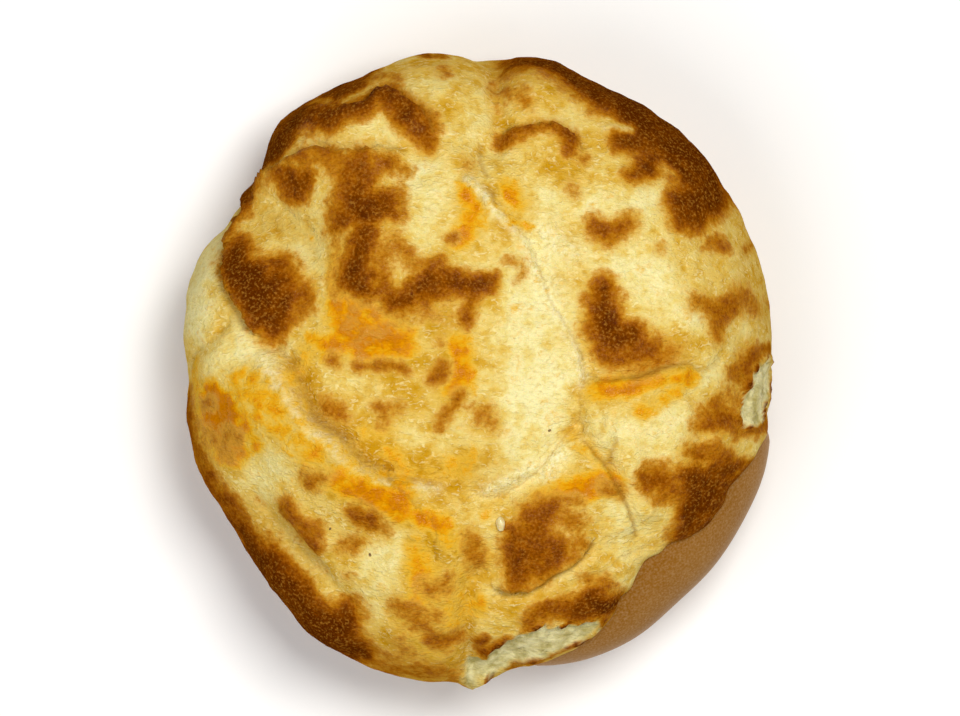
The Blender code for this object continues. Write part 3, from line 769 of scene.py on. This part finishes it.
# The underside's rings run back up from the hem, and its last point lies under the top
ball = blown_up(corners(sheet))
ball[-1] = (0, 0, 1)
angle = np.arctan2(ball[:, 1], ball[:, 0])
outer = np.arange(len(ball)) < outer_count
ring_length = (len(ball) - 1 - outer_count) // (UNDERSIDE_RINGS - 1)
share = np.arccos(np.clip(ball[:, 2], -1, 1)) / (np.pi / 2)
inner_rings = 1 + (np.arange(len(ball)) - outer_count) // ring_length
share[~outer] = (1 - inner_rings / UNDERSIDE_RINGS)[~outer]

# The rows are spread evenly along the bun's profile, from its top to the hem. Tilts are in
# radians from straight up, and the last one is past the lowest place of the hem.
LAST_TILT = 2.3
profile_tilt = np.linspace(0, LAST_TILT, 600)
profile = np.column_stack((np.sin(profile_tilt), 0 * profile_tilt, np.cos(profile_tilt)))
profile, _ = bun_surface(profile)
profile_length = np.append(0, np.cumsum(np.linalg.norm(np.diff(profile, axis=0), axis=1)))
hem_lift = hem_height(angle) - WAIST_HEIGHT
hem_rise, hem_power = bun_curve(hem_lift >= 0)
hem_flat = bun_outline(angle) * (1 - (np.abs(hem_lift) / hem_rise) ** hem_power) ** (1 / hem_power)
hem_length = np.interp(np.arctan2(hem_flat, hem_lift), profile_tilt, profile_length)
tilt = np.interp(share * hem_length, profile_length, profile_tilt)
flat = np.sin(tilt)
over_bun = np.column_stack((flat * np.cos(angle), flat * np.sin(angle), np.cos(tilt)))
points, normals = bun_surface(over_bun)
points = settled(points, normals)
to_hem = (1 - share) * hem_length

# Every crease, edge and patch wanders a little from its drawn line
even_cheese = points + normals * CHEESE_THICKNESS
wander = np.column_stack([cloudy(points, 7.0, s) for s in (11, 12, 13)]) * 0.5
wander += np.column_stack([cloudy(points, 2.4, s) for s in (14, 15, 16)]) * 0.25
strayed = even_cheese + wander

relief = 1.0 * cloudy(points, 15, 1) + 0.6 * cloudy(points, 6.5, 2) + 0.22 * cloudy(points, 2.6, 3)
for swell, half_width, path in SWELLINGS:
    distance, _, _ = along_path(even_cheese, path)
    relief += swell * np.exp(-((distance / half_width) ** 2))

# An overlap rises in a steep step over a small tuck, and fades out at both of its ends. The dark line
# of painted shade along its seam lies just off the step.
STEP_WIDTH = 0.4
TUCK_DEPTH = 0.4
TUCK_PLACE = 0.8
TUCK_WIDTH = 0.9
END_SHARE = 0.16
SEAM_PLACE = 0.35
SEAM_REACH = 1.6
FAR_FROM_SEAMS = 9.0
seam, seam_shade = np.full(len(points), FAR_FROM_SEAMS), np.zeros(len(points))


def mark_seam(signed, way, dark):
    """Keeps the distance from the nearest seam, and how dark its line of painted shade is there."""
    closer = (np.abs(signed) < np.abs(seam)) & (way > 0.01) & (way < 0.99)
    seam[closer] = signed[closer]
    seam_shade[closer] = (dark * np.clip(SEAM_REACH - np.abs(signed), 0, 1))[closer]


for step, run_out, dark, path in OVERLAPS:
    distance, side, way = along_path(strayed, path)
    signed = distance * side
    raised = 0.5 * (1 + np.tanh(signed / STEP_WIDTH)) * np.exp(-np.maximum(signed, 0) / run_out)
    tucked = -TUCK_DEPTH * np.exp(-(((signed + TUCK_PLACE) / TUCK_WIDTH) ** 2))
    ends = np.clip(way / END_SHARE, 0, 1) * np.clip((1 - way) / END_SHARE, 0, 1)
    relief += step * ends * (raised + tucked)
    mark_seam(signed + SEAM_PLACE, way, dark)
for depth, half_width, dark, path in CREASES:
    distance, side, way = along_path(strayed, path)
    relief -= depth * np.exp(-((distance / half_width) ** 1.3))
    mark_seam(distance * side, way, dark)
crumbly, crumbs = np.zeros(len(points)), np.zeros(len(points))
for height, half_width, white, path in RIDGES:
    distance, _, _ = along_path(strayed, path)
    ridge = np.exp(-((distance / half_width) ** 2))
    relief += height * ridge
    crumbs = np.maximum(crumbs, ridge)
    crumbly = np.maximum(crumbly, ridge * white)
relief += crumbs * (1.2 * np.abs(cloudy(points, 1.8, 5)) + 0.6 * cloudy(points, 0.9, 6))

# The patches lie in the plan, with ragged edges, and stray furthest low on the sides. Their edges
# are this soft, in millimetres, and spread this far past their beads.
TOAST_EDGE, TOAST_SPREAD = 6.6, 1.5
BARED_EDGE, BARED_SPREAD = 2.6, 0.2
CHEDDAR_EDGE, CHEDDAR_SPREAD = 4.5, 0.9
TONE_EDGE = 7.0

plan = strayed[:, :2].copy()
side_wall = 1 - soft_step(points[:, 2], 10, 24)
for axis, (wide, small, low_down) in enumerate(((34, 35, 31), (36, 37, 32))):
    plan[:, axis] += 0.9 * cloudy(points, 4.5, wide) + 0.35 * cloudy(points, 1.5, small)
    plan[:, axis] += 5.0 * side_wall * cloudy(points, 8, low_down)
browned = covered(plan, BROWNED, TOAST_EDGE, TOAST_SPREAD)
browned *= 1 - covered(plan, BARED, BARED_EDGE, BARED_SPREAD)
torn = np.zeros(len(points))
for depth, beads in TEARS:
    ragged = inside_beads(plan, beads) + 0.8 * cloudy(points, 1.5, 7) + 0.3 * cloudy(points, 0.7, 9)
    inside = soft_step(ragged, -0.25, 0.25)
    torn = np.maximum(torn, inside)
    relief -= depth * soft_step(ragged, -0.4, 0.5)
    relief += inside * (1.1 * np.abs(cloudy(points, 2.4, 10)) + 0.5 * cloudy(points, 1.0, 17))
    rim = np.exp(-(((ragged + 0.5) / 0.4) ** 2))
    relief += 0.8 * rim
    browned = np.maximum(browned, rim * soft_step(cloudy(points, 2.6, 18), 0.0, 0.25))
relief += browned * (0.25 + 0.12 * cloudy(points, 1.2, 8)) * (1 - torn)

thinned = 1 - (1 - HEM_THINNED) * np.exp(-to_hem / THINNING_REACH)
lip = np.sqrt(1 - np.clip(1 - to_hem / LIP_LENGTH, 0, 1) ** 2)
relief *= 1 - np.exp(-to_hem / FLATTENING_REACH)
thickness = np.maximum(CHEESE_THICKNESS * thinned + relief, LEAST_THICKNESS)
points += normals * (SHEET_GAP + np.where(outer, thickness * lip, 0))[:, None]
place_corners(sheet, points)
bpy.ops.object.mode_set(mode="EDIT")
bpy.ops.mesh.select_all(action="SELECT")
bpy.ops.mesh.normals_make_consistent(inside=False)
bpy.ops.object.mode_set(mode="OBJECT")

# The heat reached less low on the sides, so the browning fades there, though never wholly, and painted
# shade darkens the cream there and in shaded hollows. Bare curd has hardly any cheddar over it, and
# torn places none.
FADED_BY = 0.62
faded = soft_step(19 - points[:, 2] + 5 * cloudy(points, 9, 33), 0, 13)
cheddar = covered(plan, CHEDDAR, CHEDDAR_EDGE, CHEDDAR_SPREAD)
painted = {
    # low: painted shade, darker low down the sides and in the places of the painted shade table
    "low": np.maximum(1 - soft_step(points[:, 2], 16, 42), covered(plan, PAINTED_SHADE, TONE_EDGE)),
    "browned": browned * (1 - FADED_BY * faded) * (1 - torn),
    "cheddar": cheddar * (1 - torn) * (1 - 0.9 * crumbly),
    "pale": covered(plan, PALE, TONE_EDGE),
    "golden": covered(plan, GOLDEN, TONE_EDGE),
    "crumbly": crumbly,
    "seam": seam,
    "seam_shade": seam_shade,
    "torn": torn,
}
for name, values in painted.items():
    paint(sheet, name, values)

# Melted cream cheese and cheddar with toasted skin: light goes a little way in, milk fat makes
# the cream shine in places, and the browned skin is dry. It is cloudy about every 8 mm, with curds
# of 3 mm, grains of 1 mm, fine grains of 0.6 mm, and wrinkles 0.8 mm wide and longer than that.
melted, tree, shader = new_material("melted_toasted_cheese")
where = add(tree, "TexCoord").outputs["Object"]
low, browned, cheddar, pale, golden, crumbly, seam, seam_shade, torn = (
    add(tree, "Attribute", attribute_name=name).outputs["Fac"] for name in painted
)
clouds, curds, grains, fine = (
    add(tree, "TexNoise", {
        "Vector": where, "Scale": scale, "Detail": detail, "Roughness": roughness,
    }).outputs["Fac"]
    for scale, detail, roughness in ((120, 3, 0.6), (360, 4, 0.55), (1000, 3, 0.6), (1750, 2, 0.6))
)
drawn_out = add(tree, "Mapping", {"Vector": where, "Rotation": (0, 0, 0.7), "Scale": (0.5, 1, 1)})
strokes = add(tree, "TexNoise", {
    "Vector": drawn_out.outputs[0], "Scale": 1300, "Detail": 2, "Roughness": 0.5, "Distortion": 1.2,
}).outputs["Fac"]

# Cream: pale where it stayed thick, golden where it ran thin, with painted highlights as fine bright
# glints along the wrinkles, dull grains between them, and white crumbs along the seams
tone = add(tree, "Math", {0: pale, 1: golden}, operation="SUBTRACT").outputs[0]
tone = add(tree, "Math", {0: tone, 1: 0.31, 2: clouds}, operation="MULTIPLY_ADD").outputs[0]
lumps = add(tree, "Math", {0: curds, 1: 0.5}, operation="SUBTRACT").outputs[0]
tone = add(tree, "Math", {0: tone, 1: lumps}, operation="ADD").outputs[0]
cream = add(tree, "ValToRGB", {0: tone}, stops=(
    (0.1, "#C4900F"),
    (0.32, "#D2A536"),
    (0.5, "#DFBF60"),
    (0.68, "#E6D384"),
    (0.88, "#EEE4A6"),
)).outputs[0]
for pattern, start, end, at_start, at_end, colour in (
    # bright strokes: painted highlights, standing in for glints of light on the wet wrinkles
    (strokes, 0.54, 0.7, 0.0, 0.5, "#FBF0B4"),
    (grains, 0.28, 0.46, 0.3, 0.0, "#B88E34"),
):
    amount = add(tree, "MapRange", {
        "Value": pattern, "From Min": start, "From Max": end, "To Min": at_start, "To Max": at_end,
    }).outputs[0]
    cream = add(tree, "MixRGB", {0: amount, 1: cream, 2: linear(colour)}).outputs[0]
crumb_share = add(tree, "Math", {0: crumbly, 1: 0.95}, operation="MULTIPLY").outputs[0]
crumb = add(tree, "ValToRGB", {0: grains}, stops=(
    (0.36, "#DDC97F"),
    (0.48, "#EEE3A6"),
    (0.6, "#F9F2C6"),
)).outputs[0]
cream = add(tree, "MixRGB", {0: crumb_share, 1: cream, 2: crumb}).outputs[0]

# Cheddar: clear amber, smooth and oily, in strands that fade into the cream
strands = add(tree, "Math", {0: curds, 1: 1.5, 2: cheddar}, operation="MULTIPLY_ADD").outputs[0]
strands = add(tree, "Math", {0: strokes, 1: 0.4, 2: strands}, operation="MULTIPLY_ADD").outputs[0]
cheddar_share = add(tree, "MapRange", {
    "Value": strands, "From Min": 0.95, "From Max": 1.45, "To Max": 1.0,
}, interpolation_type="SMOOTHSTEP").outputs[0]
depth_of_tint = add(tree, "Math", {0: strands, 1: 1.5, 2: -1.95}, operation="MULTIPLY_ADD").outputs[0]
cheddar_colour = add(tree, "ValToRGB", {0: depth_of_tint}, stops=(
    (0.0, "#E0B33C"),
    (0.35, "#E0A416"),
    (0.62, "#DA8F02"),
    (0.92, "#C67800"),
)).outputs[0]
cheeses = add(tree, "MixRGB", {0: cheddar_share, 1: cream, 2: cheddar_colour}).outputs[0]

# Toast: gold at the edge of a patch and dark in its middle, uneven, with light grains and pits
toast = browned
for pattern, weight in ((curds, 0.5), (grains, 0.4), (clouds, 0.6)):
    toast = add(tree, "Math", {0: pattern, 1: weight, 2: toast}, operation="MULTIPLY_ADD").outputs[0]
toast = add(tree, "Math", {0: toast, 1: 0.75}, operation="SUBTRACT").outputs[0]
toast_colour = add(tree, "ValToRGB", {0: toast}, stops=(
    (0.08, "#DDB655"),
    (0.25, "#CC9630"),
    (0.43, "#B1700E"),
    (0.6, "#935004"),
    (0.78, "#753900"),
    (0.95, "#5A2500"),
)).outputs[0]
toast_share = add(tree, "MapRange", {
    "Value": toast, "From Min": 0.0, "From Max": 0.36,
}, interpolation_type="SMOOTHSTEP").outputs[0]
some = add(tree, "MapRange", {"Value": browned, "From Min": 0.0, "From Max": 0.12}).outputs[0]
toast_share = add(tree, "Math", {0: toast_share, 1: some}, operation="MULTIPLY").outputs[0]
cheeses = add(tree, "MixRGB", {0: toast_share, 1: cheeses, 2: toast_colour}).outputs[0]
for start, end, at_start, at_end, colour in (
    (0.5, 0.72, 0.0, 0.6, "#BE8630"),
    (0.32, 0.48, 0.6, 0.0, "#582A00"),
):
    amount = add(tree, "MapRange", {
        "Value": fine, "From Min": start, "From Max": end, "To Min": at_start, "To Max": at_end,
    }).outputs[0]
    amount = add(tree, "Math", {0: amount, 1: browned}, operation="MULTIPLY").outputs[0]
    cheeses = add(tree, "MixRGB", {0: amount, 1: cheeses, 2: linear(colour)}).outputs[0]

# Seams: a fine dark brown line, uneven in width, along the bottom of each crease and the foot of each
# overlap; it is partly painted shade and partly the browned edge of the fold
seam_size = add(tree, "Math", {0: seam}, operation="ABSOLUTE").outputs[0]
seam_size = add(tree, "Math", {0: curds, 1: 0.6, 2: seam_size}, operation="MULTIPLY_ADD").outputs[0]
seam_shade_share = add(tree, "MapRange", {
    "Value": seam_size, "From Min": 0.3, "From Max": 1.3, "To Min": 0.5, "To Max": 0.0,
}, interpolation_type="SMOOTHSTEP").outputs[0]
seam_shade_share = add(tree, "Math", {0: seam_shade_share, 1: seam_shade}, operation="MULTIPLY").outputs[0]
cheeses = add(tree, "MixRGB", {0: seam_shade_share, 1: cheeses, 2: linear("#9A6A1C")}).outputs[0]

# Painted shade: low down the side and in the shaded hollows the cream is dulled and darkened, as shade
# falls there
shaded_cheeses = add(tree, "MixRGB", {
    0: 1.0, 1: cheeses, 2: linear("#EADFC2"),
}, blend_type="MULTIPLY").outputs[0]
cheeses = add(tree, "MixRGB", {0: low, 1: cheeses, 2: shaded_cheeses}).outputs[0]

# Torn places: the wet curd under the skin
wet = add(tree, "ValToRGB", {0: curds}, stops=(
    (0.36, "#B1A25E"),
    (0.6, "#E4D99E"),
)).outputs[0]
whole = add(tree, "MixRGB", {0: torn, 1: cheeses, 2: wet}).outputs[0]
tree.links.new(whole, shader.inputs["Base Color"])

# The skin is finely wrinkled, and lumpy where curds melted unevenly, so its smoothness varies
wrinkling = add(tree, "Bump", {"Height": strokes, "Strength": 0.8, "Distance": 0.0005})
lumping = add(tree, "Bump", {
    "Height": curds, "Strength": 0.6, "Distance": 0.0009, "Normal": wrinkling.outputs[0],
})
tree.links.new(lumping.outputs[0], shader.inputs["Normal"])
gloss = add(tree, "MapRange", {
    "Value": curds, "From Min": 0.35, "From Max": 0.65, "To Min": 0.24, "To Max": 0.36,
}).outputs[0]
tree.links.new(gloss, shader.inputs["Roughness"])

# A film of melted fat lies on the cream in places, and on the torn places; toast is dry
film = add(tree, "MapRange", {
    "Value": curds, "From Min": 0.42, "From Max": 0.62, "To Min": 0.0, "To Max": 0.3,
}).outputs[0]
film = add(tree, "Math", {0: torn, 1: 0.5, 2: film}, operation="MULTIPLY_ADD").outputs[0]
dry = add(tree, "Math", {0: browned, 1: low}, operation="ADD").outputs[0]
wetness = add(tree, "Math", {0: 1.0, 1: dry}, operation="SUBTRACT", use_clamp=True).outputs[0]
film = add(tree, "Math", {0: film, 1: wetness}, operation="MULTIPLY").outputs[0]
tree.links.new(film, shader.inputs["Coat Weight"])
tree.links.new(lumping.outputs[0], shader.inputs["Coat Normal"])
shader.inputs["Coat Roughness"].default_value = 0.2
shader.inputs["Coat IOR"].default_value = 1.4
shader.inputs["Specular IOR Level"].default_value = 0.0
shader.inputs["Subsurface Weight"].default_value = 0.08
shader.inputs["Subsurface Scale"].default_value = 1.0
shader.inputs["Subsurface Radius"].default_value = (0.002, 0.0011, 0.0003)
sheet.data.materials.append(melted)

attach(sheet, "root")
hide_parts("cheese_blanket")


# Small loose bits on the cheese: one pale drop of set fat beside the browned patch under the
# seam, and a few burnt crumbs that stuck to the cheese while it was soft.

ON_TOP = points[outer]


def lump_on_cheese(name, rounds, place, half_size, turn, sunk):
    """A ball made a lump of half sizes in mm, turned, and sunk by a share into the cheese."""
    bpy.ops.object.select_all(action="DESELECT")
    bpy.ops.mesh.primitive_ico_sphere_add(subdivisions=rounds, radius=1)
    thing = bpy.context.object
    thing.name = name
    nearest = np.argmin(np.hypot(ON_TOP[:, 0] - place[0], ON_TOP[:, 1] - place[1]))
    lump = corners(thing) * half_size * (1 + 0.12 * cloudy(corners(thing), 0.8, 21))[:, None]
    x, y = lump[:, 0].copy(), lump[:, 1].copy()
    lump[:, 0] = x * np.cos(turn) - y * np.sin(turn)
    lump[:, 1] = x * np.sin(turn) + y * np.cos(turn)
    place_corners(thing, lump + ON_TOP[nearest] + (0, 0, half_size[2] * (1 - 2 * sunk)))
    return thing


drop = lump_on_cheese("fat_drop", 4, (3.8, -30.6), np.array((0.85, 1.5, 0.8)), 0.1, 0.25)

# Milk fat: cloudy and pale where it has set a little, wet and smooth
milk_fat, tree, shader = new_material("set_milk_fat")
where = add(tree, "TexCoord").outputs["Object"]
cloud = add(tree, "TexNoise", {"Vector": where, "Scale": 900, "Detail": 2}).outputs["Fac"]
fat_colour = add(tree, "ValToRGB", {0: cloud}, stops=(
    (0.35, "#D6C07C"),
    (0.65, "#EEE2B2"),
)).outputs[0]
tree.links.new(fat_colour, shader.inputs["Base Color"])
shader.inputs["Roughness"].default_value = 0.15
shader.inputs["IOR"].default_value = 1.45
shader.inputs["Subsurface Weight"].default_value = 0.4
shader.inputs["Subsurface Radius"].default_value = (0.0012, 0.0008, 0.0004)
drop.data.materials.append(milk_fat)
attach(drop, "root")

# Cheese burnt dry, brown rather than black: where each crumb lies, its half length, and its turn
CRUMBS = ((13.6, -12.2, 0.34, 0.4), (-22, -36.4, 0.36, 2.0), (-29.6, -31.8, 0.28, 1.1))
burnt, tree, shader = new_material("burnt_cheese_crumb")
where = add(tree, "TexCoord").outputs["Object"]
char = add(tree, "TexNoise", {"Vector": where, "Scale": 2500, "Detail": 2}).outputs["Fac"]
char_colour = add(tree, "ValToRGB", {0: char}, stops=(
    (0.4, "#5E4420"),
    (0.65, "#8C6A34"),
)).outputs[0]
tree.links.new(char_colour, shader.inputs["Base Color"])
shader.inputs["Roughness"].default_value = 0.6
for number, (x, y, size, turn) in enumerate(CRUMBS, 1):
    half_size = np.array((size, 0.7 * size, 0.5 * size))
    crumb = lump_on_cheese(f"crumb_{number}", 2, (x, y), half_size, turn, 0.2)
    crumb.data.materials.append(burnt)
    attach(crumb, "root")
